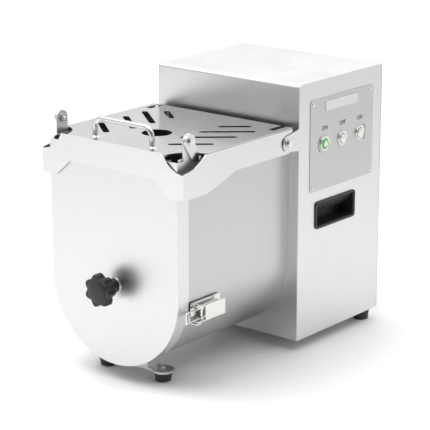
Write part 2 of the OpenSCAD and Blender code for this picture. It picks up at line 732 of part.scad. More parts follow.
module output_gear() machine() color(steel) difference() {
    at_output() union() {
        gear(out_module, out_teeth, out_angle, out_gear_y[0], out_gear_y[1]);
        rod_y(journal_r + 9, out_gear_y[0], out_gear_y[1] + 6);
    }
    at_output() rod_y(journal_r, 0, box_back_y);
    for (i = [0 : 5]) at_output() rotate([0, i * 60, 0]) translate([0.63 * out_module * out_teeth / 2, 0, 0])
        rod_y(10, out_gear_y[0] - 1, out_gear_y[1] + 1);
}
module countershaft() machine() color(steel) at_side() {
    rod_y(side_shaft_r, box_in_y - small_bearing_w + 0.5, box_back_y + small_bearing_w - 0.5);
    gear(out_module, out_pinion_teeth, out_angle + 180 + 180 / out_pinion_teeth,
        out_gear_y[0] - 1, out_gear_y[1] + 1);
    gear(in_module, in_teeth, in_angle, in_gear_y[0], in_gear_y[1]);
    rod_y(side_shaft_r + 5, out_gear_y[1] + 1, in_gear_y[0]);
}

// ---- Belt drive and motor ----
pulley_y = [158, 180];
groove = 1.5;
motor_z = col_h - 78;
driven_r = motor_pulley_r * belt_ratio;
motor_r = 58;
motor_y = [48, 150];
fan_room_y = 16;
motor_shaft_r = 9.5;
belt_t = 4;
belt_y = [pulley_y[0] + 3, pulley_y[1] - 3];
module pulley_profile(r) {
    w = pulley_y[1] - pulley_y[0];
    n = 4;
    pitch = (w - 6) / n;
    points = [for (i = [0 : n - 1]) each [[r, 3 + i * pitch], [r - groove, 3 + (i + 0.5) * pitch]]];
    polygon(concat([[0, 0], [r + 2, 0], [r + 2, 2], [r, 2.9]], points,
        [[r, w - 3], [r, w - 2.9], [r + 2, w - 2], [r + 2, w], [0, w]]));
}
module pulley(r, bore) difference() {
    translate([0, pulley_y[1], 0]) rotate([90, 0, 0]) rotate_extrude() pulley_profile(r);
    rod_y(bore, pulley_y[0] - 1, pulley_y[1] + 1);
}
module at_motor() translate([0, 0, motor_z]) children();
module input_shaft() machine() color(bright) at_input() {
    rod_y(side_shaft_r, box_in_y - small_bearing_w + 0.5, pulley_y[1] + 6);
    gear(in_module, in_pinion_teeth, in_angle + 180 + 180 / in_pinion_teeth,
        in_gear_y[0] - 1, in_gear_y[1] + 1);
}
module driven_pulley() machine() color(cast) at_input() difference() {
    pulley(driven_r, side_shaft_r);
    for (i = [0 : 4]) rotate([0, i * 72, 0]) translate([0.62 * driven_r, 0, 0])
        rod_y(0.17 * driven_r, pulley_y[0] - 1, pulley_y[1] + 1);
}
module motor_pulley() machine() color(cast) at_motor() pulley(motor_pulley_r, motor_shaft_r);
belt_gap = 0.4;
module belt_outline(extra) hull() {
    translate([0, input_z]) circle(driven_r + extra);
    translate([0, motor_z]) circle(motor_pulley_r + extra);
}
module drive_belt() machine() color(black) along_y(belt_y[0], belt_y[1]) difference() {
    belt_outline(belt_gap + belt_t);
    belt_outline(belt_gap);
}
fin_count = 28;
stator_r = 38;
motor_bearing_r = 17.5;
module motor_housing() machine() color(cast) at_motor() difference() {
    union() {
        rod_y(motor_r - 5, motor_y[0], motor_y[1]);
        for (i = [0 : fin_count - 1]) rotate([0, i * 360 / fin_count, 0])
            box([motor_r - 6, motor_y[0] + 10, -1], [motor_r, motor_y[1] - 10, 1]);
        both_sides() box([20, motor_y[0] + 20, -motor_r - 6], [44, motor_y[1] - 20, -30]);
    }
    rod_y(stator_r, motor_y[0] + 10, motor_y[1] - 10);
    rod_y(motor_shaft_r + run_fit, motor_y[0] - 1, motor_y[1] + 1);
}
module motor_rotor() machine() color(steel) at_motor() {
    rod_y(stator_r - 1.5, motor_y[0] + 16, motor_y[1] - 16);
    rod_y(motor_shaft_r, fan_room_y + 8, pulley_y[1] + 4);
}
fan_y = [motor_y[0] - 20, motor_y[0] - 6];
fan_hub_r = 18;
fan_blades = 8;
cowl_hole_r = 5;
cowl_holes = 12;
module cooling_fan() machine() color(black) at_motor() difference() {
    union() {
        rod_y(fan_hub_r, fan_y[0], fan_y[1]);
        rod_y(motor_r - 12, fan_y[1] - 2, fan_y[1]);
        for (i = [0 : fan_blades - 1]) rotate([0, i * 360 / fan_blades, 0])
            box([fan_hub_r - 4, fan_y[0], -1.2], [motor_r - 13, fan_y[1], 1.2]);
    }
    rod_y(motor_shaft_r, fan_y[0] - 1, fan_y[1] + 1);
}
module fan_cowl() machine() color(black) at_motor() difference() {
    rod_y(motor_r - 5, fan_room_y, motor_y[0]);
    rod_y(motor_r - 7, fan_room_y + 2, motor_y[0] + 1);
    for (i = [0 : cowl_holes - 1]) rotate([0, i * 360 / cowl_holes, 0])
        translate([32, 0, 0]) rod_y(cowl_hole_r, fan_room_y - 1, fan_room_y + 3);
}
shelf_z = motor_z - motor_r - 6;
shelf_t = 3;
shelf_flange = 22;
module motor_shelf() machine() color(steel) difference() {
    union() {
        box([-inner_half, motor_y[0] - 6, shelf_z - shelf_t], [inner_half, motor_y[1] - 4, shelf_z]);
        both_sides() box([inner_half - 2, motor_y[0] - 6, shelf_z - shelf_flange],
            [inner_half, motor_y[1] - 4, shelf_z]);
    }
    both_sides() for (y = [motor_y[0] + 30, motor_y[1] - 34])
        translate([26, y, shelf_z - 5]) linear_extrude(10) slot2d(14, 5);
}

// ---- Electrical parts ----
moulding_grey = [0.75, 0.75, 0.72];
contactor_low = [-140, 150, 100];
contactor_high = [-90, 220, 190];
terminal_count = 5;
terminal_w = 5;
terminal_pitch = 9;
module contactor_box() machine() color(moulding_grey) {
    box(contactor_low, contactor_high);
    for (i = [0 : terminal_count - 1])
        translate([contactor_low[0] + 4 + i * terminal_pitch, contactor_low[1] - 4, contactor_low[2] + 12])
            cube([terminal_w, 4 + eps, contactor_high[2] - contactor_low[2] - 24]);
}
capacitor_place = [110, 200, 2];
capacitor_r = 20;
capacitor_h = 88;
terminal_block_r = 8;
module capacitor() machine() color(moulding_grey) translate(capacitor_place) {
    cylinder(r = capacitor_r, h = capacitor_h);
    translate([0, 0, capacitor_h - eps]) cylinder(r = terminal_block_r, h = terminal_block_r);
}
module cable_gland() machine() color(black) translate([gland_x, 0, gland_z]) difference() {
    union() {
        rod_y(gland_r - 1, back_y - 8, col_d + 5);
        translate([0, machine_back, 0]) rotate([90, 0, 0]) cylinder(r = gland_r + 1, h = gland_l * 0.55, $fn = 48);
        translate([0, col_d + gland_l * 0.45 + eps, 0]) rotate([90, 0, 0])
            cylinder(r = gland_r + 4, h = gland_l * 0.45, $fn = 6);
    }
    rod_y(cable_r, back_y - 9, machine_back + 1);
}

// ---- Controls ----
plate_t = 1.2;
plate_x = half_w + plate_t;
badge_w = 95;
badge_h = 17;
badge_z = 402.5;
plate_inset = 8;
module panel_screw_places() for (y = [-1, 1], z = [-1, 1])
    translate([panel_y + y * (panel_w / 2 - plate_inset), panel_z + z * (panel_h / 2 - plate_inset)]) children();
module control_plate() machine() color(bright) along_x(half_w, plate_x) difference() {
    translate([panel_y, panel_z]) rounded(panel_w, panel_h, 6);
    for (i = [0 : 2]) translate([button_y(i), panel_z]) circle(switch_r);
    panel_screw_places() circle(1.5);
}
module badge_plate() machine() color(bright) along_x(plate_x, plate_x + 1)
    translate([panel_y - 3, badge_z]) rounded(badge_w, badge_h, 2);
module panel_screws() machine() color(bright) {
    along_x(inner_half - 4, plate_x) panel_screw_places() circle(1.5);
    along_x(plate_x, plate_x + 1.2) panel_screw_places() circle(3);
    along_y(back_y - 4, col_d) cover_screw_places() circle(cover_screw_r);
    along_y(col_d, col_d + 1.8) cover_screw_places() circle(3.8);
}
bezel_r = 13;
bezel_h = 2.5;
button_gap = 0.3;
switch_depth = 40;
// Bezel with its switch body behind the panel
module button_bezels() machine() color(steel) for (i = [0 : 2])
    translate([0, button_y(i), panel_z]) difference() {
        union() {
            rod_x(bezel_r, plate_x, plate_x + bezel_h);
            rod_x(switch_r, half_w - switch_depth, plate_x + eps);
        }
        rod_x(button_r + button_gap, half_w - 12, plate_x + bezel_h + 1);
    }
module button(i) translate([0, button_y(i), panel_z])
    rod_x(button_r, half_w - 12 + button_travel + gap, plate_x + bezel_h + 1.5);
module on_button_front() machine() color(green) button(0);
module off_button() machine() color(steel) button(1);
module on_button_rear() machine() color(steel) button(2);
module grip_cup() difference() {
    union() {
        along_x(half_w, half_w + 2.5) translate([grip_y, grip_z]) rounded(grip_w, grip_h, 6);
        along_x(half_w - grip_depth, half_w + eps) translate([grip_y, grip_z])
            rounded(grip_w - 2 * grip_lip, grip_h - 2 * grip_lip, 4);
    }
    along_x(half_w - grip_depth + 2.5, half_w + 4) translate([grip_y, grip_z])
        rounded(grip_w - 2 * grip_lip - 5, grip_h - 2 * grip_lip - 5, 3);
}
module grip_cups() machine() color(black) both_sides() grip_cup();

column_wrap();
left_side_panel();
right_side_panel();
back_cover();
base_plate();
front_foot_bar();
rubber_feet();
foot_screws();
trough_shell();
trough_rear_wall();
front_cap();
cap_gasket();
cap_hinge_links();
cap_hinge_bolts();
bearing_hub();
lid_plate();
lid_skirt();
lid_handle();
lid_pivot_bolts();
lid_magnet();
lid_sensor();
latch_bases();
latch_keepers();
latch_lever_right();
latch_lever_left();
latch_bail_right();
latch_bail_left();
star_knob();
knob_stud();
thrust_washer();
paddle_shaft();
paddle_arms();
front_bush();
output_shaft();
shaft_seal();
gearbox_housing();
gearbox_cover();
ball_bearings();
output_gear();
countershaft();
input_shaft();
driven_pulley();
drive_belt();
motor_pulley();
motor_housing();
motor_rotor();
cooling_fan();
fan_cowl();
motor_shelf();
contactor_box();
capacitor();
cable_gland();
control_plate();
badge_plate();
panel_screws();
button_bezels();
on_button_front();
off_button();
on_button_rear();
grip_cups();
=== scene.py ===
import json
from math import atan2, cos, pi, radians, sin

import bmesh
import bpy
from mathutils import Matrix, Vector

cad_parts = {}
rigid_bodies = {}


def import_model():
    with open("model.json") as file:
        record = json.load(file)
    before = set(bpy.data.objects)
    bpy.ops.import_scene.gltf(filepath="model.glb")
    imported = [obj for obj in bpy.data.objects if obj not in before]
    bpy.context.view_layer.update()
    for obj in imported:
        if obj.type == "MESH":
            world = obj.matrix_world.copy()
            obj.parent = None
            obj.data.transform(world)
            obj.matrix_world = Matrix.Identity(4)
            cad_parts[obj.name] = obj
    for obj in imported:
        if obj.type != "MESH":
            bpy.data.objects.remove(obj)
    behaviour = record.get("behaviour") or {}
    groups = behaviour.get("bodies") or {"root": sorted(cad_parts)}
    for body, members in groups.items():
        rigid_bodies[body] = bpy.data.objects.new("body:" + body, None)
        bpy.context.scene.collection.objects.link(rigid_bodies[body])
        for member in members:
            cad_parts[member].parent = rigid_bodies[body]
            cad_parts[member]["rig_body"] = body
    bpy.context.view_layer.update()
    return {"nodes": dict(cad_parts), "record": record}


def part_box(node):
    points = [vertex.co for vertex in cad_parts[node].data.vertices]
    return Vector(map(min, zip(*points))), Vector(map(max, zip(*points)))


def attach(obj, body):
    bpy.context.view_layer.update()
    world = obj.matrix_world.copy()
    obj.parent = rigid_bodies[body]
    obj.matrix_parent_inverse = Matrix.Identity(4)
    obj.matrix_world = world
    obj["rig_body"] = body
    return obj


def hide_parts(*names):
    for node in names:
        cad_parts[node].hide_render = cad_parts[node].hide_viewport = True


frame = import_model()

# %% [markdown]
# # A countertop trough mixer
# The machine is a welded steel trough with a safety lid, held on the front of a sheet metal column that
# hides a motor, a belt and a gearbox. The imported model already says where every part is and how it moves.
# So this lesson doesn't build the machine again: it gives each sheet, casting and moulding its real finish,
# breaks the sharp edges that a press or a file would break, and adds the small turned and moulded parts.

MM = 0.001
nodes = frame["nodes"]


# %% [markdown]
# ## Writing a finish as arithmetic
# A procedural finish is a sum of small patterns: grain, smudges, dust. Drawn as nodes it soon becomes a web
# that nobody can read. A small class that wraps one socket lets Python's own signs add the Math nodes, so
# that a finish reads like a recipe. Everything that isn't plain arithmetic comes from one method.

# %% A wire that can be added and multiplied
class Wire:
    """One output socket. Arithmetic on it adds Math nodes."""

    def __init__(self, recipe, socket):
        self.recipe = recipe
        self.socket = socket

    def math(self, operation, first, second):
        return self.recipe.node("Math", {"operation": operation}, {0: first, 1: second})

    def __add__(self, other):
        return self.math("ADD", self, other)

    __radd__ = __add__

    def __mul__(self, other):
        return self.math("MULTIPLY", self, other)

    __rmul__ = __mul__


# %% [markdown]
# A recipe holds one node tree, whether a material's or the room's. Its one method makes a node of any kind:
# the settings go in first, because they decide which sockets the node has, and the values and links follow.

# %% The recipe
class Recipe:
    """A node tree, and the one way to add to it."""

    def __init__(self, tree):
        self.tree = tree

    def feed(self, socket, value):
        if isinstance(value, Wire):
            self.tree.links.new(value.socket, socket)
        else:
            socket.default_value = value

    def set_ramp(self, ramp, interpolation, stops):
        """The stops are pairs of a position and a grey."""
        ramp.interpolation = interpolation
        for element, (position, grey) in zip(ramp.elements, stops):
            element.position = position
            element.color = (grey, grey, grey, 1.0)

    def node(self, kind, settings=None, inputs=None, output=0):
        """Any node: its type, its settings, then the values or links of its sockets."""
        made = self.tree.nodes.new("ShaderNode" + kind)
        for name, value in (settings or {}).items():
            if name == "ramp":
                self.set_ramp(made.color_ramp, *value)
            else:
                setattr(made, name, value)
        for name, value in (inputs or {}).items():
            self.feed(made.inputs[name], value)
        return Wire(self, made.outputs[output])


# %% [markdown]
# A finish is the recipe of one material. What is the same all over sits on the shader's own sockets, and
# only what changes over the surface arrives by a wire.

# %% The finish
class Finish(Recipe):
    """A material with one Principled shader."""

    def __init__(self, name, colour, **fixed):
        self.material = bpy.data.materials.new(name)
        self.material.use_nodes = True
        super().__init__(self.material.node_tree)
        self.shader = self.tree.nodes["Principled BSDF"]
        self.colour = (*colour, 1.0)
        self.shader.inputs["Base Color"].default_value = self.colour
        for socket, value in fixed.items():
            self.shader.inputs[socket.replace("_", " ")].default_value = value
        self.place = self.node("TexCoord", output="Object")

    def scaled(self, scale):
        """The object's own coordinates, stretched."""
        return self.node("Mapping", None, {"Vector": self.place, "Scale": scale})

    def noise(self, scale, detail=2.0, roughness=0.5):
        """Noise from 0 to 1 with a frequency for each axis, in features a metre."""
        sockets = {"Vector": self.scaled(scale), "Scale": 1.0, "Detail": detail, "Roughness": roughness}
        return self.node("TexNoise", None, sockets)

    def mixed(self, amount, first, second):
        """A colour between two colours, whose sockets on a Mix node are 6, 7 and output 2."""
        sockets = {0: amount, 6: first, 7: second}
        return self.node("Mix", {"data_type": "RGBA"}, sockets, output=2)

    def bumped(self, height, distance):
        """Heights from 0 to 1 as a bump of the given depth in metres."""
        self.shader_input("Normal", self.node("Bump", None, {"Height": height, "Distance": distance}))

    def shader_input(self, name, value):
        self.feed(self.shader.inputs[name], value)


def shade(colour, share):
    """A darker colour, with its alpha."""
    return (*(share * value for value in colour), 1.0)


# %% [markdown]
# ## Rolled and brushed sheet
# Stainless sheet gets its satin look from an abrasive belt that leaves fine parallel lines. Light spreads
# across the lines more than along them. The lines could be drawn with the anisotropic sockets, but those
# need tangents on every mesh. Noise that is squeezed across the lines and drawn out along them gives the
# same broken reflections on any face, and shows in close views. Two slower patterns sit on top: the slight
# waviness of thin sheet, which bends long reflections, and the greasy patches that hands leave.

# %% Sheet metal
LINES_ALONG_WALLS = (14, 14, 2600)
LINES_ALONG_TROUGH = (2600, 9, 2600)
LINES_ACROSS = (14, 2600, 2600)
HAND_PATCHES = (16, 16, 16)
SHEET_WAVES = (7, 7, 7)
HAND_SHINE = 0.12


def brushed(name, colour, grain, roughness=0.3, depth=4e-6, wave=3e-4, spread=0.10):
    """A brushed metal: fine lines, hand marks and the waviness of thin sheet."""
    steel = Finish(name, colour, Metallic=1.0)
    lines = steel.noise(grain, detail=3.0, roughness=0.6)
    marks = steel.noise(HAND_PATCHES, detail=4.0, roughness=0.6)
    waves = steel.noise(SHEET_WAVES, detail=0.0)
    tone = marks * 0.55 + lines * 0.45
    steel.shader_input("Base Color", steel.mixed(tone, shade(colour, 0.86), steel.colour))
    dullest = roughness - 0.5 * (spread + HAND_SHINE)
    steel.shader_input("Roughness", lines * spread + marks * HAND_SHINE + dullest)
    steel.bumped(lines * (depth / wave) + waves, wave)
    return steel.material


walls = brushed("brushed_walls", (0.74, 0.74, 0.735), LINES_ALONG_WALLS, roughness=0.32)
trough_sheet = brushed("brushed_trough", (0.58, 0.58, 0.575), LINES_ALONG_TROUGH, roughness=0.32,
                       wave=1.5e-4)
lid_sheet = brushed("brushed_lid", (0.60, 0.60, 0.595), LINES_ACROSS, roughness=0.20, wave=2e-4)
bright_sheet = brushed("bright_sheet", (0.74, 0.74, 0.73), LINES_ALONG_WALLS, roughness=0.22)
cap_sheet = brushed("satin_cap", (0.78, 0.78, 0.775), LINES_ALONG_WALLS, roughness=0.38)
label_sheet = brushed("anodised_label", (0.60, 0.60, 0.60), LINES_ALONG_WALLS, roughness=0.42, wave=1e-5)
sheets = (walls, trough_sheet, lid_sheet, bright_sheet, cap_sheet, label_sheet)
print("sheet finishes:", [sheet.name for sheet in sheets])

# %% [markdown]
# ## Turned and plated metal
# A lathe leaves rings round the axis. All the shafts here lie along Y, so rings are bands that change only
# with Y: the same noise, squeezed along Y alone. Plated fasteners are smoother, with tiny pits and a faint
# yellow cast. Castings are blasted, so they are dull and dimpled.

# %% Turned, plated and cast metal
LATHE_RINGS = (4, 1500, 4)
PLATING_PITS = (1800, 1800, 1800)
BLASTED_DIMPLES = (420, 420, 420)


def turned_metal(name, colour, roughness):
    """Metal off the lathe, with fine rings round any axis along Y."""
    metal = Finish(name, colour, Metallic=1.0)
    rings = metal.noise(LATHE_RINGS, detail=2.0)
    film = metal.noise((40, 40, 40), detail=3.0)
    metal.shader_input("Base Color", metal.mixed(film, shade(colour, 0.72), metal.colour))
    metal.shader_input("Roughness", rings * 0.12 + film * 0.12 + (roughness - 0.12))
    metal.bumped(rings, 8e-6)
    return metal.material


def plated_metal(name, colour, roughness):
    """Bright zinc plate: tiny pits, a yellowish film, finger marks."""
    metal = Finish(name, colour, Metallic=1.0)
    pits = metal.noise(PLATING_PITS, detail=2.0)
    film = metal.noise((60, 60, 60), detail=3.0)
    yellow = (colour[0] * 0.92, colour[1] * 0.89, colour[2] * 0.80, 1.0)
    metal.shader_input("Base Color", metal.mixed(film, yellow, metal.colour))
    metal.shader_input("Roughness", film * 0.16 + pits * 0.08 + (roughness - 0.12))
    metal.bumped(pits, 6e-6)
    return metal.material


def cast_metal(name, colour, roughness):
    """A blasted casting: dull and dimpled, with painted shade darkening its hollows."""
    metal = Finish(name, colour, Metallic=1.0)
    dimples_and_hollow_shade = metal.noise(BLASTED_DIMPLES, detail=4.0, roughness=0.6)
    stain = metal.noise((22, 22, 22), detail=3.0)
    # The colour is darker where the dimples are low, which is painted shade in the hollows, mixed with real
    # stains.
    tone = dimples_and_hollow_shade * 0.6 + stain * 0.4
    metal.shader_input("Base Color", metal.mixed(tone, shade(colour, 0.6), metal.colour))
    metal.shader_input("Roughness", dimples_and_hollow_shade * 0.15 + stain * 0.1 + (roughness - 0.12))
    metal.bumped(dimples_and_hollow_shade, 1.2e-4)
    return metal.material


zinc = plated_metal("zinc_plate", (0.78, 0.78, 0.79), 0.24)
steel_shafts = turned_metal("turned_steel", (0.56, 0.56, 0.57), 0.28)
bronze_bush = turned_metal("turned_bronze", (0.60, 0.40, 0.19), 0.34)
aluminium = cast_metal("cast_aluminium", (0.56, 0.57, 0.58), 0.48)
print("other metals:", [metal.name for metal in (zinc, steel_shafts, bronze_bush, aluminium)])

# %% [markdown]
# ## Mouldings
# Black nylon comes out of its mould with a spark-eroded grain: cells under half a millimetre across
# that scatter the light and make the black look grey at a glance. Rubber is duller and softer, with a bloom
# of pale dust in patches. Both are dielectric, so the grain goes in the bump and the roughness, and the dust
# is a small step of colour.

# %% Plastic, rubber and ink
def moulded(name, colour, roughness, grain=2600, depth=2e-5, dust=0.03, coat=0.0):
    """Moulded plastic or rubber: eroded grain, a rub of shine and a little dust."""
    plastic = Finish(name, colour, Coat_Weight=coat, Coat_Roughness=0.15)
    cells = plastic.node("TexVoronoi", {"feature": "SMOOTH_F1"},
                         {"Vector": plastic.scaled((grain, grain, grain)), "Scale": 1.0})
    patches = plastic.noise((30, 30, 30), detail=4.0, roughness=0.65)
    dusty = (*(value + dust for value in colour), 1.0)
    plastic.shader_input("Base Color", plastic.mixed(patches, plastic.colour, dusty))
    plastic.shader_input("Roughness", patches * 0.18 + cells * 0.08 + (roughness - 0.12))
    plastic.bumped(cells, depth)
    return plastic.material


black_nylon = moulded("black_nylon", (0.009, 0.009, 0.010), 0.42, dust=0.006)
rubber = moulded("nitrile_rubber", (0.022, 0.022, 0.022), 0.72, grain=1400, dust=0.03)
grey_plastic = moulded("grey_moulding", (0.30, 0.30, 0.29), 0.45)
green_lens = moulded("green_lens", (0.05, 0.62, 0.12), 0.22, grain=900, depth=5e-6, coat=0.6)
printed_ink = moulded("printed_ink", (0.012, 0.012, 0.012), 0.55, dust=0.01)
seal_black = moulded("seal_black", (0.008, 0.008, 0.008), 0.62, dust=0.006)
mouldings = (black_nylon, rubber, grey_plastic, green_lens, printed_ink, seal_black)
print("mouldings:", [finish.name for finish in mouldings])

# %% [markdown]
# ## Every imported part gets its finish
# The record gives each part a slot, which is the trade name of its material. Most parts take the finish of
# their slot; the sheets differ by the way they were brushed, so those are named one by one.

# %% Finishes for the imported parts
finish_of_slot = {
    "satin_steel": walls,
    "polished_steel": bright_sheet,
    "zinc_hardware": zinc,
    "black_plastic": black_nylon,
    "black_rubber": rubber,
    "cast_aluminium": aluminium,
    "machined_steel": steel_shafts,
    "bronze": bronze_bush,
    "grey_plastic": grey_plastic,
    "button_green": green_lens,
    "button_grey": zinc,
}
finish_of_part = {
    "trough_shell": trough_sheet,
    "trough_rear_wall": trough_sheet,
    "front_foot_bar": trough_sheet,
    "lid_plate": lid_sheet,
    "control_plate": label_sheet,
    "paddle_arms": trough_sheet,
}
slot_of_part = {row["node"]: row["material_slot"] for row in frame["record"]["subparts"]}


def dress(part, finish):
    """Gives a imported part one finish."""
    mesh = nodes[part].data
    mesh.materials.clear()
    mesh.materials.append(finish)


for part in nodes:
    slot = slot_of_part[part]
    dress(part, finish_of_part.get(part, finish_of_slot[slot]))
print(len(nodes), "parts dressed;", len(slot_of_part), "slots read")

# %% [markdown]
# ## Making a piece
# Each new piece is one mesh whose object sits at the origin, so that its pattern doesn't slide. The maker
# below merges doubles, turns the faces outwards and shades smoothly, with weighted normals that keep a broad
# flat face flat right up to its rounded edge.

# %% Piece maker
SMOOTH_LIMIT = radians(50)
SAME_POINT = 1e-6


def finished(name, shape, body, finish, replaces=(), fix_normals=True):
    """Turns a bmesh into a piece that rides on a body."""
    bmesh.ops.remove_doubles(shape, verts=shape.verts, dist=SAME_POINT)
    if fix_normals:
        bmesh.ops.recalc_face_normals(shape, faces=shape.faces)
    mesh = bpy.data.meshes.new(name)
    shape.to_mesh(mesh)
    shape.free()
    mesh.shade_smooth()
    mesh.set_sharp_from_angle(angle=SMOOTH_LIMIT)
    mesh.materials.append(finish)
    piece = bpy.data.objects.new(name, mesh)
    bpy.context.scene.collection.objects.link(piece)
    weighted = piece.modifiers.new("Weighted Normal", "WEIGHTED_NORMAL")
    weighted.keep_sharp = True
    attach(piece, body)
    if replaces:
        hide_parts(*replaces)
    print(name, "rides on", body, "with", len(mesh.polygons), "faces")


# %% [markdown]
# Four helpers do what a bench does: find sharp corners and break them, set a piece in its place, and put
# several shapes together. A bevel that is asked for more than fits stops where two of its edges would meet.

# %% Edges, places and assemblies
SHARP_CORNER = radians(28)
STEEP_CORNER = radians(60)


def corners_over(shape, angle):
    """Edges where two faces meet at more than an angle."""
    return [edge for edge in shape.edges if edge.is_manifold and edge.calc_face_angle(0.0) > angle]


def rounded(shape, edges, width, segments, held=True):
    """Bevels some edges by a width in metres, held to what fits or not."""
    bmesh.ops.bevel(shape, geom=edges, offset=width, offset_type="OFFSET", affect="EDGES",
                    segments=segments, profile=0.5, material=-1, clamp_overlap=held)


def break_edges(shape, width, segments=2):
    """Rounds every sharp edge of a shape, by a width in metres."""
    rounded(shape, corners_over(shape, SHARP_CORNER), width, segments)


def moved(shape, place=(0, 0, 0), turn=None):
    """Turns a shape about the origin and then sets it in its place."""
    matrix = Matrix.Translation(Vector(place)) @ (turn or Matrix.Identity(4))
    bmesh.ops.transform(shape, matrix=matrix, verts=shape.verts)
    return shape


def joined(shapes):
    """Several shapes as one."""
    whole = bmesh.new()
    for shape in shapes:
        scratch = bpy.data.meshes.new("scratch")
        shape.to_mesh(scratch)
        shape.free()
        whole.from_mesh(scratch)
        bpy.data.meshes.remove(scratch)
    return whole


FACING_FRONT = Matrix.Rotation(pi / 2, 4, "X")
FACING_RIGHT = Matrix.Rotation(pi / 2, 4, "Y")
FACING_LEFT = Matrix.Rotation(-pi / 2, 4, "Y")
FACING_BACK = Matrix.Rotation(-pi / 2, 4, "X")
print("helpers ready; corners over", round(SHARP_CORNER, 3), "radians are broken")

# %% [markdown]
# ## Pressed sheet never has a knife edge
# A blanked and deburred sheet has edges rounded by a few tenths of a millimetre, and they are what the light
# catches: without them a lid looks like card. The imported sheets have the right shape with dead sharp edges.
# A copy is welded from its loose triangles, its flat faces are dissolved back to single faces, and every
# sharp edge is bevelled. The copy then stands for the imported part.

# %% Softened sheets
SHEET_EDGE = 0.35 * MM
PACKED_POINT = 2e-6
SAME_PLANE = radians(0.3)


def softened(node, finish):
    """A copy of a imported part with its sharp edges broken, which replaces it."""
    shape = bmesh.new()
    shape.from_mesh(nodes[node].data)
    bmesh.ops.remove_doubles(shape, verts=shape.verts, dist=PACKED_POINT)
    bmesh.ops.dissolve_limit(shape, angle_limit=SAME_PLANE, verts=shape.verts, edges=shape.edges,
                             use_dissolve_boundaries=False)
    before = len(shape.edges)
    break_edges(shape, SHEET_EDGE)
    print(node, before, "edges before,", len(shape.edges), "after")
    return finished(node + "_soft", shape, nodes[node]["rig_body"],
                    finish, replaces=(node,), fix_normals=False)


soft_parts = {
    "column_wrap": walls,
    "left_side_panel": walls,
    "right_side_panel": walls,
    "back_cover": walls,
    "trough_shell": trough_sheet,
    "front_cap": cap_sheet,
    "lid_plate": lid_sheet,
    "lid_skirt": bright_sheet,
    "cap_hinge_links": bright_sheet,
    "front_foot_bar": trough_sheet,
    "latch_lever_right": zinc,
    "latch_lever_left": zinc,
    "control_plate": label_sheet,
}
for part, finish in soft_parts.items():
    softened(part, finish)

# %% [markdown]
# ## Turned parts
# Half of a machine's small parts come off a lathe: the outline of one side, spun once round the axis. The
# outline is a list of radius and height pairs. A full spin is told to merge its last step with its first,
# and the points on the axis are merged afterwards, which closes the poles.

# %% Lathe
def turned(outline, steps=48, closed=False):
    """Spins (radius, height) points, in millimetres, once round Z."""
    shape = bmesh.new()
    corners = [shape.verts.new((radius * MM, 0, height * MM)) for radius, height in outline]
    edges = [shape.edges.new(pair) for pair in zip(corners, corners[1:])]
    if closed:
        edges.append(shape.edges.new((corners[-1], corners[0])))
    bmesh.ops.spin(shape, geom=corners + edges, cent=(0, 0, 0), axis=(0, 0, 1), dvec=(0, 0, 0),
                   angle=2 * pi, steps=steps, use_merge=True, use_duplicate=False)
    bmesh.ops.remove_doubles(shape, verts=shape.verts, dist=SAME_POINT)
    bmesh.ops.recalc_face_normals(shape, faces=shape.faces)
    return shape


def arc(centre, radius, start, stop, count=5):
    """Points on an arc, in degrees, for a turned outline."""
    angles = [radians(start + (stop - start) * step / (count - 1)) for step in range(count)]
    return [(centre[0] + radius * cos(angle), centre[1] + radius * sin(angle)) for angle in angles]


quarter = arc((0, 0), 1, 0, 90)
print("a quarter of a circle in", len(quarter), "points, from", quarter[0])

# %% [markdown]
# ## Star knob
# The knob that clamps the front cap is a seven-lobed nylon moulding on a steel stud. Its outline is a circle
# scalloped between the lobes. A circle of many points is pulled in by the depth of a scallop, extruded to
# the thickness of the lobes, and its rims are rounded generously so that it is kind to a hand. The domed
# middle and the neck behind are turned.

# %% The knob's lobes
KNOB_LOBES = 7
KNOB_RADIUS = 28.0
SCALLOP_DEPTH = 5.6
POINTS_PER_LOBE = 24
LOBE_THICKNESS = 18.0
LOBE_ROUNDING = 3.0


def scalloped_disc():
    """A disc with concave scallops between rounded lobes, from z = 0 down."""
    shape = bmesh.new()
    bmesh.ops.create_circle(shape, cap_ends=True, segments=KNOB_LOBES * POINTS_PER_LOBE,
                            radius=KNOB_RADIUS * MM)
    for vert in shape.verts:
        turns = atan2(vert.co.y, vert.co.x) / (2 * pi) * KNOB_LOBES
        offset = 2 * abs(turns - round(turns))
        hollow = SCALLOP_DEPTH * (1 - cos(pi * offset)) / 2 * (0.65 + 0.35 * offset)
        vert.co *= (KNOB_RADIUS - hollow) / KNOB_RADIUS
    lowered = bmesh.ops.extrude_face_region(shape, geom=shape.faces[:])
    fresh = [item for item in lowered["geom"] if isinstance(item, bmesh.types.BMVert)]
    bmesh.ops.translate(shape, verts=fresh, vec=(0, 0, -LOBE_THICKNESS * MM))
    bmesh.ops.recalc_face_normals(shape, faces=shape.faces)
    rounded(shape, corners_over(shape, STEEP_CORNER), LOBE_ROUNDING * MM, 5, held=False)
    return shape


# %% The whole knob
AXIS_HEIGHT = 165.0
FACE_DEPTH = 3.0
knob_low, knob_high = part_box("star_knob")
neck_length = (knob_high.y - knob_low.y) / MM
knob_face = turned([(0, 0), (7, -0.15), (13, -0.6), (17, -1.3), (19.2, -2.2), (20.2, -3.4),
                    (20.6, -5.5), (0, -5.5)])
knob_neck = turned([(0, -18), (15.5, -18), (15.0, -22), (12.6, -24.5), (12.0, -27),
                    (12.0, -neck_length + 0.8), (11.2, -neck_length), (6.1, -neck_length),
                    (6.1, -20), (0, -20)])
lobes = moved(scalloped_disc(), (0, 0, -FACE_DEPTH * MM))
star = joined([lobes, knob_face, knob_neck])
moved(star, (0, knob_low.y, AXIS_HEIGHT * MM), FACING_FRONT)
finished("star_knob_moulding", star, "knob", black_nylon, replaces=("star_knob",))

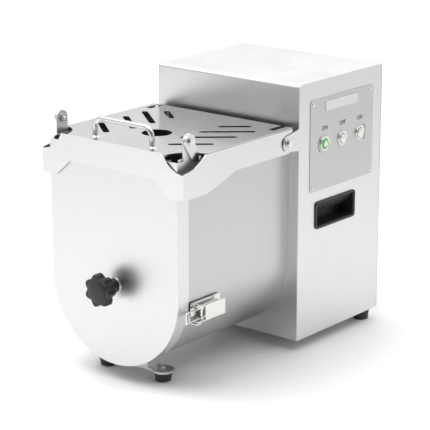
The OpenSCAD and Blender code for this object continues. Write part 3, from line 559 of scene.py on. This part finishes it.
# %% [markdown]
# ## Hexagon bolts
# A bolt head is a six-sided prism whose corners were turned off on a lathe, so its top shows a round edge
# that meets the flats in small arcs. Bevelling the upper corners of the prism gives that at this size. A
# screw head is a low dome with a round recess, turned like a rod.

# %% Heads and rods
def hex_head(radius, height):
    """A hexagon head standing on z = 0, with its upper corners taken off."""
    shape = bmesh.new()
    bmesh.ops.create_cone(shape, cap_ends=True, segments=6, radius1=radius * MM, radius2=radius * MM,
                          depth=height * MM, matrix=Matrix.Translation((0, 0, height * MM / 2)))
    top = [edge for edge in shape.edges if min(vert.co.z for vert in edge.verts) > 0.9 * height * MM]
    rounded(shape, top, 0.16 * radius * MM, 3, held=False)
    return shape


def pan_head(radius, height, slot_depth=0.5):
    """A low domed screw head with a turned recess in its middle."""
    dome = [(0, height - slot_depth), (0.42 * radius, height - slot_depth), (0.48 * radius, height)]
    dome += [(0.70 * radius, height * 0.96), (0.88 * radius, height * 0.78), (0.97 * radius, height * 0.45)]
    dome += [(radius, 0.15 * height), (0.98 * radius, 0.0), (0, 0)]
    return turned(dome, steps=24)


def plain_rod(radius, low, high, chamfer=0.5):
    """A rod along z with chamfered ends."""
    outline = [(0, low), (radius - chamfer, low), (radius, low + chamfer), (radius, high - chamfer),
               (radius - chamfer, high), (0, high)]
    return turned(outline, steps=24)


# %% [markdown]
# The machine was drawn from the front face and the underside of its column, so the places below are
# given from there too, in millimetres.

# %% Places on the machine
COLUMN_FRONT = 37.0
UNDERSIDE = 20.0
PANEL_FACE = 154.0
PLATE_FACE = 155.2
SIDES = ((1, FACING_RIGHT), (-1, FACING_LEFT))


def at(x, y, z):
    """A place given from the column's front face and underside, in millimetres."""
    return Vector((x, y + COLUMN_FRONT, z + UNDERSIDE)) * MM


print("the column's front lower edge is at", at(0, 0, 0))

# %% [markdown]
# ## The lid's hinge bolts
# Each bolt is a head on a turned washer outside the side panel, a shank through the ear, and a nut inside.

# %% Lid hinge bolts
LID_PIVOT = (-29.0, 356.0)
WASHER = 1.2
NUT_DEPTH = 9.3
pivots = []
for side, turn in SIDES:
    washer = turned([(4.1, 0), (8.6, 0), (9.0, 0.3), (9.0, 0.9), (8.7, WASHER), (4.1, WASHER)], closed=True)
    head = moved(hex_head(7.5, 4.7), (0, 0, WASHER * MM))
    shank = plain_rod(4.0, -11.4, 1.0)
    nut = moved(hex_head(7.5, 4.6), (0, 0, -NUT_DEPTH * MM))
    bolt = joined([washer, head, shank, nut])
    pivots.append(moved(bolt, at(side * PANEL_FACE, *LID_PIVOT), turn))
finished("lid_hinge_bolts", joined(pivots), "frame", zinc, replaces=("lid_pivot_bolts",))

# %% [markdown]
# ## The front cap's hinge bolts
# The links of the front cap are held by one bolt and one low screw on each side.

# %% Cap hinge bolts
CAP_HINGE = (-268.0, 402.0)
LINK_SCREW = (-244.0, 372.0)
LINK_FACE = 140.4
CAP_NUT_DEPTH = 11.0
cap_bolts = []
for side, turn in SIDES:
    head = hex_head(6.3, 4.4)
    nut = moved(hex_head(6.3, 4.4), (0, 0, -CAP_NUT_DEPTH * MM))
    shank = plain_rod(3.0, -14.0, 1.0)
    cap_bolts.append(moved(joined([head, shank, nut]), at(side * LINK_FACE, *CAP_HINGE), turn))
    cap_bolts.append(moved(pan_head(3.6, 1.8), at(side * LINK_FACE, *LINK_SCREW), turn))
finished("cap_pivot_bolts", joined(cap_bolts), "frame", zinc, replaces=("cap_hinge_bolts",))

# %% [markdown]
# ## Cover screws
# Four small screws hold the control plate, and six hold the cover on the back of the column.

# %% Screw heads
PLATE_MIDDLE = (124.0, 338.0)
PLATE_SIZE = (186.0, 161.0)
SCREW_INSET = 8.0
screws = []
for along in (-1, 1):
    for up in (-1, 1):
        y = PLATE_MIDDLE[0] + along * (PLATE_SIZE[0] / 2 - SCREW_INSET)
        z = PLATE_MIDDLE[1] + up * (PLATE_SIZE[1] / 2 - SCREW_INSET)
        screws.append(moved(pan_head(3.0, 1.2, 0.4), at(PLATE_FACE, y, z), FACING_RIGHT))
COVER_SCREW_ACROSS = 142.0
COVER_FACE = 245.0
COVER_SCREW_HEIGHTS = (20, 225, 430)
for side in (-1, 1):
    for height in COVER_SCREW_HEIGHTS:
        place = at(side * COVER_SCREW_ACROSS, COVER_FACE, height)
        screws.append(moved(pan_head(3.8, 1.8, 0.7), place, FACING_BACK))
finished("cover_screw_heads", joined(screws), "frame", zinc, replaces=("panel_screws",))

# %% [markdown]
# ## Push buttons
# Each push button is a plated ring on the plate with a domed cap in it. The ring is turned, with a rounded
# rim and a shallow groove inside it, and the black body of the switch sits behind the plate.

# %% Button rings and switch bodies
BUTTON_PLACES = (72.0, 124.0, 176.0)
BUTTON_HEIGHT = 338.0
BORE = 8.85
THREAD = 10.9
RING_BACK = -9.0
RING_OUTLINE = [(11.0, -0.2), (12.9, 0.0), (13.0, 0.4), *arc((11.9, 1.4), 1.1, 0, 90), (11.2, 2.4),
                (10.6, 1.9), (10.2, 1.9), (9.9, 2.2), (9.4, 2.1), (BORE, 1.5), (BORE, RING_BACK),
                (THREAD, RING_BACK), (THREAD, -0.2)]
SWITCH_OUTLINE = [(0, -9.2), (THREAD, -9.2), (THREAD, -36.0), (9.0, -37.5), (9.0, -41.0), (0, -41.0)]
rings = []
switches = []
for y in BUTTON_PLACES:
    place = at(PLATE_FACE, y, BUTTON_HEIGHT)
    rings.append(moved(turned(RING_OUTLINE, closed=True), place, FACING_RIGHT))
    switches.append(moved(turned(SWITCH_OUTLINE), place, FACING_RIGHT))
finished("button_rings", joined(rings), "frame", zinc, replaces=("button_bezels",))
finished("switch_bodies", joined(switches), "frame", seal_black)

# %% [markdown]
# The caps ride on their own bodies, so they sink into their rings when they are pressed. The front one is
# lit: a green lens as a ring round a pale metal middle.

# %% Button caps and the green lens
BUTTON_BODIES = ("button_on_front", "button_off", "button_on_rear")
BUTTON_PARTS = ("on_button_front", "off_button", "on_button_rear")
LIT_PART = "on_button_front"
CAP_RADIUS = 8.5
CAP_TOP = 4.0
CAP_BACK = -5.0
LIT_MIDDLE = 5.2
LENS_HOLE = 5.25
for y, body, part in zip(BUTTON_PLACES, BUTTON_BODIES, BUTTON_PARTS):
    edge = LIT_MIDDLE if part == LIT_PART else CAP_RADIUS
    middle = [(0, CAP_TOP), (0.5 * edge, CAP_TOP - 0.06), (0.86 * edge, CAP_TOP - 0.22)]
    middle += [(0.96 * edge, CAP_TOP - 0.5), (edge, CAP_TOP - 1.0), (edge, CAP_BACK), (0, CAP_BACK)]
    cap = moved(turned(middle), at(PLATE_FACE, y, BUTTON_HEIGHT), FACING_RIGHT)
    finished(part + "_cap", cap, body, zinc, replaces=(part,))
    if part == LIT_PART:
        lens = [(LENS_HOLE, CAP_TOP - 0.9), (5.5, CAP_TOP - 0.35), (6.9, CAP_TOP - 0.3),
                (8.0, CAP_TOP - 0.6), (CAP_RADIUS, CAP_TOP - 1.4), (CAP_RADIUS, CAP_BACK),
                (LENS_HOLE, CAP_BACK)]
        glow = moved(turned(lens, closed=True), at(PLATE_FACE, y, BUTTON_HEIGHT), FACING_RIGHT)
        finished("green_lens_ring", glow, body, green_lens)

# %% [markdown]
# ## Printing on the plate
# The words ON and OFF and the two arcs beside the outer buttons are printed in black. Ink has next to no
# thickness, but a face that lies in the plate would flicker with it, so the marks stand a few hundredths
# of a millimetre proud. The letters are a text curve that is made a mesh before it is placed.

# %% Words
INK = 0.06
WORD_SIZE = 10.5
WORD_HEIGHT = 365.0
STROKE_SWELL = 0.25
READ_FROM_RIGHT = Matrix.Rotation(pi / 2, 4, "Z") @ Matrix.Rotation(pi / 2, 4, "X")
READ_FROM_LEFT = Matrix.Rotation(-pi / 2, 4, "Z") @ Matrix.Rotation(pi / 2, 4, "X")


def printed_word(text, y, z):
    """A word in ink, read from the right side, centred on a place."""
    curve = bpy.data.curves.new("word", "FONT")
    curve.body = text
    curve.size = WORD_SIZE * MM
    curve.align_x = "CENTER"
    curve.align_y = "CENTER"
    curve.extrude = INK * MM / 2
    curve.offset = STROKE_SWELL * MM
    curve.resolution_u = 3
    carrier = bpy.data.objects.new("word", curve)
    bpy.context.scene.collection.objects.link(carrier)
    bpy.context.view_layer.update()
    flat = bpy.data.meshes.new_from_object(carrier)
    shape = bmesh.new()
    shape.from_mesh(flat)
    bpy.data.objects.remove(carrier)
    bpy.data.curves.remove(curve)
    bpy.data.meshes.remove(flat)
    return moved(shape, at(PLATE_FACE + INK / 2, y, z), READ_FROM_RIGHT)


words = [printed_word(word, y, WORD_HEIGHT) for word, y in zip(("ON", "OFF", "ON"), BUTTON_PLACES)]
print("words of", [len(word.faces) for word in words], "faces")

# %% Arcs beside the outer buttons
ARC_RADIUS = 17.0
ARC_WIDTH = 1.5
HALF_ARC = 50


def printed_arc(start, stop, y, z):
    """Part of a printed ring on the plate, angles in degrees from the rear."""
    shape = bmesh.new()
    inner = shape.verts.new((ARC_RADIUS * MM, 0, 0))
    outer = shape.verts.new(((ARC_RADIUS + ARC_WIDTH) * MM, 0, 0))
    line = shape.edges.new((inner, outer))
    bmesh.ops.rotate(shape, verts=shape.verts, matrix=Matrix.Rotation(radians(start), 3, "Z"))
    bmesh.ops.spin(shape, geom=[inner, outer, line], cent=(0, 0, 0), axis=(0, 0, 1), dvec=(0, 0, 0),
                   angle=radians(stop - start), steps=20, use_merge=False, use_duplicate=False)
    bmesh.ops.recalc_face_normals(shape, faces=shape.faces)
    bmesh.ops.solidify(shape, geom=shape.faces, thickness=INK * MM)
    return moved(shape, at(PLATE_FACE + INK / 2, y, z), READ_FROM_RIGHT)


front_arc = printed_arc(180 - HALF_ARC, 180 + HALF_ARC, BUTTON_PLACES[0], BUTTON_HEIGHT)
rear_arc = printed_arc(-HALF_ARC, HALF_ARC, BUTTON_PLACES[2], BUTTON_HEIGHT)
finished("printed_marks", joined([*words, front_arc, rear_arc]), "frame", printed_ink)

# %% [markdown]
# ## Plates with round corners
# The badge and the grips both start from a flat face with round corners, which is pulled up into a plate.
# An inset then draws a border inside its top face, and the face within the border can be pushed in.

# %% Plate helpers
CORNER_STEPS = 6
NEXT_TO_NOTHING = 1e-6


def rounded_plate(width, height, radius):
    """A flat face in XY with round corners."""
    shape = bmesh.new()
    bmesh.ops.create_grid(shape, x_segments=1, y_segments=1, size=0.5)
    bmesh.ops.scale(shape, vec=(width * MM, height * MM, 1), verts=shape.verts)
    bmesh.ops.bevel(shape, geom=shape.verts[:], offset=radius * MM, offset_type="OFFSET",
                    affect="VERTICES", segments=CORNER_STEPS, profile=0.5, material=-1,
                    clamp_overlap=True)
    return shape


def thickened(shape, thickness):
    """Pulls a flat outline up along z into a plate."""
    top = bmesh.ops.extrude_face_region(shape, geom=shape.faces[:])
    fresh = [item for item in top["geom"] if isinstance(item, bmesh.types.BMVert)]
    bmesh.ops.translate(shape, verts=fresh, vec=(0, 0, thickness * MM))
    bmesh.ops.recalc_face_normals(shape, faces=shape.faces)
    return shape


def bordered(shape, face, border):
    """Insets a face by a border in metres; the face within keeps its name."""
    bmesh.ops.inset_region(shape, faces=[face], thickness=border, use_even_offset=True)


def pushed(shape, face, depth):
    """Moves a face down by a depth in millimetres."""
    bmesh.ops.translate(shape, verts=face.verts[:], vec=(0, 0, -depth * MM))


def top_face(shape):
    """The face that lies highest and looks up."""
    return max(shape.faces, key=lambda face: face.calc_center_median().z + face.normal.z)


# %% [markdown]
# ## Blank badge
# A bright plate above the buttons, left blank, with a raised border round a slightly sunk middle.

# %% Badge
BADGE_SIZE = (95, 17)
BADGE_PLACE = (121.0, 402.5)
BADGE_BORDER = 1.6
BADGE_SINK = 0.35
MORE_THAN_FITS = 0.12
badge = thickened(rounded_plate(*BADGE_SIZE, 2.0), 1.0)
middle = top_face(badge)
bordered(badge, middle, BADGE_BORDER * MM)
bordered(badge, middle, NEXT_TO_NOTHING)
pushed(badge, middle, BADGE_SINK)
break_edges(badge, MORE_THAN_FITS)
moved(badge, at(PLATE_FACE, *BADGE_PLACE), READ_FROM_RIGHT)
finished("blank_badge", badge, "frame", bright_sheet, replaces=("badge_plate",))

# %% [markdown]
# ## Side grips
# The carrying grips are black moulded cups pushed into the side panels. Round the mouth runs a frame with
# rounded corners. Insets draw the frame and the mouth on one plate, the mouth is pushed in to make the
# pocket for the fingers, and the plate's back is pushed in behind it, which closes the cup.

# %% Grip cups
GRIP_PLACE = (107.0, 214.0)
GRIP_SIZE = (118.0, 49.0)
GRIP_DEPTH = 28.5
FRAME_HEIGHT = 2.5
FRAME_BORDER = 4.2
LIP_SLOPE = 1.6
LIP_DEPTH = 3.2
POCKET_TAPER = 1.2
CUP_WALL = 1.4


def grip_cup():
    """A cup whose mouth looks along +z, with its frame standing on z = 0."""
    shape = thickened(rounded_plate(*GRIP_SIZE, 6.5), FRAME_HEIGHT)
    mouth = top_face(shape)
    bordered(shape, mouth, FRAME_BORDER * MM)
    bordered(shape, mouth, LIP_SLOPE * MM)
    pushed(shape, mouth, LIP_DEPTH)
    bordered(shape, mouth, POCKET_TAPER * MM)
    pushed(shape, mouth, GRIP_DEPTH - LIP_DEPTH)
    back = min(shape.faces, key=lambda face: face.normal.z)
    bordered(shape, back, 4.1 * MM)
    bordered(shape, back, 0.02 * MM)
    pushed(shape, back, GRIP_DEPTH + CUP_WALL)
    rim = [edge for edge in corners_over(shape, STEEP_CORNER)
           if min(vert.co.z for vert in edge.verts) > 2.3 * MM]
    rounded(shape, rim, 1.0 * MM, 3)
    return shape


# %% [markdown]
# Inside the upper edge of the mouth hangs a hood that slopes inwards. It is a second plate, whose lower
# front points are pushed in.

# %% Grip hoods, and both grips
HOOD_SIZE = (104.0, 17.0)
HOOD_DEPTH = 20.0
HOOD_PLACE = (0, 10.0 * MM, -21.5 * MM)
HOOD_SLOPE = 9.5


def grip_hood():
    """The sloping hood under the upper edge of the mouth: a wedge with round ends."""
    shape = thickened(rounded_plate(*HOOD_SIZE, 4.0), HOOD_DEPTH)
    bmesh.ops.translate(shape, verts=shape.verts, vec=HOOD_PLACE)
    for vert in shape.verts:
        if vert.co.z > -5 * MM and vert.co.y < 8 * MM:
            vert.co.z -= HOOD_SLOPE * MM
    break_edges(shape, MORE_THAN_FITS, 3)
    return shape


cups = []
for side, turn in ((1, READ_FROM_RIGHT), (-1, READ_FROM_LEFT)):
    cup = joined([grip_cup(), grip_hood()])
    cups.append(moved(cup, at(side * PANEL_FACE, *GRIP_PLACE), turn))
finished("moulded_grips", joined(cups), "frame", black_nylon, replaces=("grip_cups",))

# %% [markdown]
# ## Feet
# The column and the bar under the trough stand on turned rubber feet: tapered, with a flange at the top, a
# rounded tread and a hollow for the screw head.

# %% Rubber feet
REAR_FOOT = (135.0, 222.0, 0.0)
REAR_FOOT_HEIGHT = 20.0
FRONT_FOOT = (61.0, -245.0, -4.0)
FRONT_FOOT_HEIGHT = 16.0


def rubber_foot(height):
    """A tapered foot hanging from z = 0."""
    outline = [(2.6, 0), (15.2, 0), (16.0, -0.8), (15.4, -0.28 * height), (14.6, -0.34 * height)]
    outline += [(13.4, -height + 2.6), (13.5, -height + 1.6), (12.9, -height + 0.5), (11.8, -height)]
    outline += [(7.2, -height), (6.2, -height + 0.6), (5.6, -height + 6.0), (2.6, -height + 6.0)]
    return turned(outline, steps=40, closed=True)


feet = []
for side in (-1, 1):
    feet.append(moved(rubber_foot(REAR_FOOT_HEIGHT), at(side * REAR_FOOT[0], *REAR_FOOT[1:])))
    feet.append(moved(rubber_foot(FRONT_FOOT_HEIGHT), at(side * FRONT_FOOT[0], *FRONT_FOOT[1:])))
finished("turned_rubber_feet", joined(feet), "frame", rubber, replaces=("rubber_feet",))

# %% [markdown]
# ## Welds
# The lid's handle is welded on. A weld is a bead of overlapping ripples, dressed but never quite
# invisible. A small collar is turned round each foot of the handle, and its height swells and sinks in turn
# all the way round, so that the ripples are real shape.

# %% Beads round the handle's feet
HANDLE_FEET = (61.0, -268.0)
LID_TOP = 381.0
BEAD_OUTLINE = [(4.2, 2.2), (4.7, 1.9), (5.6, 1.0), (6.8, 0.25), (7.4, 0.02), (4.2, 0.02)]
RIPPLES = 18
RIPPLE_SHARE = 0.05
handle_beads = []
for side in (-1, 1):
    collar = turned(BEAD_OUTLINE, steps=72, closed=True)
    for vert in collar.verts:
        vert.co.z *= 1 + RIPPLE_SHARE * sin(RIPPLES * atan2(vert.co.y, vert.co.x))
    handle_beads.append(moved(collar, at(side * HANDLE_FEET[0], HANDLE_FEET[1], LID_TOP)))
finished("handle_weld_beads", joined(handle_beads), "lid", bright_sheet)

# %% [markdown]
# ## The studio
# The machine stands on a wide pale floor with a faint fibre, like a roll of studio paper.

# %% Floor
FLOOR_SIZE = 30.0
floor_shape = bmesh.new()
bmesh.ops.create_grid(floor_shape, x_segments=1, y_segments=1, size=FLOOR_SIZE / 2)
floor_mesh = bpy.data.meshes.new("studio_floor")
floor_shape.to_mesh(floor_mesh)
floor_shape.free()
floor = bpy.data.objects.new("studio_floor", floor_mesh)
bpy.context.scene.collection.objects.link(floor)
paper = Finish("studio_paper", (0.93, 0.93, 0.93), Roughness=0.9)
fibres = paper.noise((30, 30, 30), detail=4.0)
paper.shader_input("Base Color", paper.mixed(fibres, (0.92, 0.92, 0.92, 1), (0.95, 0.95, 0.95, 1)))
floor_mesh.materials.append(paper.material)
print("floor of", FLOOR_SIZE, "metres")

# %% [markdown]
# Bright metal shows what stands round it, so the room is the main light. It is white behind and to the left
# of the machine, and fades to grey toward the front right: a direction is compared with DARK_SIDE, and a
# ramp turns the result into a tone.

# %% Room
DARK_SIDE = (0.52, -0.82, 0.24)
ROOM_LIGHT = 1.0
ROOM_TONES = ((0.05, 1.0), (0.80, 0.22))
room = bpy.data.worlds.new("studio_room")
room.use_nodes = True
sky = Recipe(room.node_tree)
look = sky.node("TexCoord", output="Generated")
toward = sky.node("VectorMath", {"operation": "DOT_PRODUCT"}, {0: look, 1: DARK_SIDE}, output="Value")
fade = sky.node("ValToRGB", {"ramp": ("EASE", ROOM_TONES)}, {"Fac": toward}, output="Color")
background = sky.tree.nodes["Background"].inputs
sky.feed(background["Color"], fade)
sky.feed(background["Strength"], ROOM_LIGHT)
bpy.context.scene.world = room
print("room tones at", ROOM_TONES)

# %% [markdown]
# Three soft boxes add the bright patches: one above and in front, a large one far behind on the left, which
# lights the floor there, and a small weak one over the floor on the right.

# %% Lamps
def soft_lamp(name, place, aim, size, power):
    """A square soft box that looks at a point, with its side in metres and its power in watts."""
    light = bpy.data.lights.new(name, "AREA")
    light.shape = "RECTANGLE"
    light.size = size
    light.size_y = size
    light.energy = power
    lamp = bpy.data.objects.new(name, light)
    lamp.location = place
    lamp.rotation_euler = (Vector(aim) - Vector(place)).to_track_quat("-Z", "Y").to_euler()
    bpy.context.scene.collection.objects.link(lamp)
    print(name, "gives", power, "watts")


soft_lamp("top_box", (-0.5, -1.0, 2.5), (-0.3, -0.7, 0.0), size=2.2, power=52)
soft_lamp("back_left_box", (-1.4, 3.0, 3.0), (-1.2, 2.8, 0.0), size=3.0, power=50)
soft_lamp("right_floor_box", (1.2, 0.2, 1.9), (0.7, 0.2, 0.0), size=0.9, power=6)
bpy.context.scene.view_settings.view_transform = "Standard"

# %% [markdown]
# ## The camera
# A long lens a good way off, a little above the machine and to its front right, looking slightly down.

# %% Camera
LENS = 156.14
CAMERA_PLACE = (1.94997, -2.41315, 1.10956)
LOOKING_DOWN = 0.277
HEADING = 0.6788
camera_data = bpy.data.cameras.new("camera")
camera_data.lens = LENS
camera_data.sensor_width = 36.0
camera = bpy.data.objects.new("camera", camera_data)
camera.location = CAMERA_PLACE
camera.rotation_euler = (pi / 2 - LOOKING_DOWN, 0.0, HEADING)
bpy.context.scene.collection.objects.link(camera)
bpy.context.scene.camera = camera
print("camera at", CAMERA_PLACE, "with a lens of", LENS, "mm")
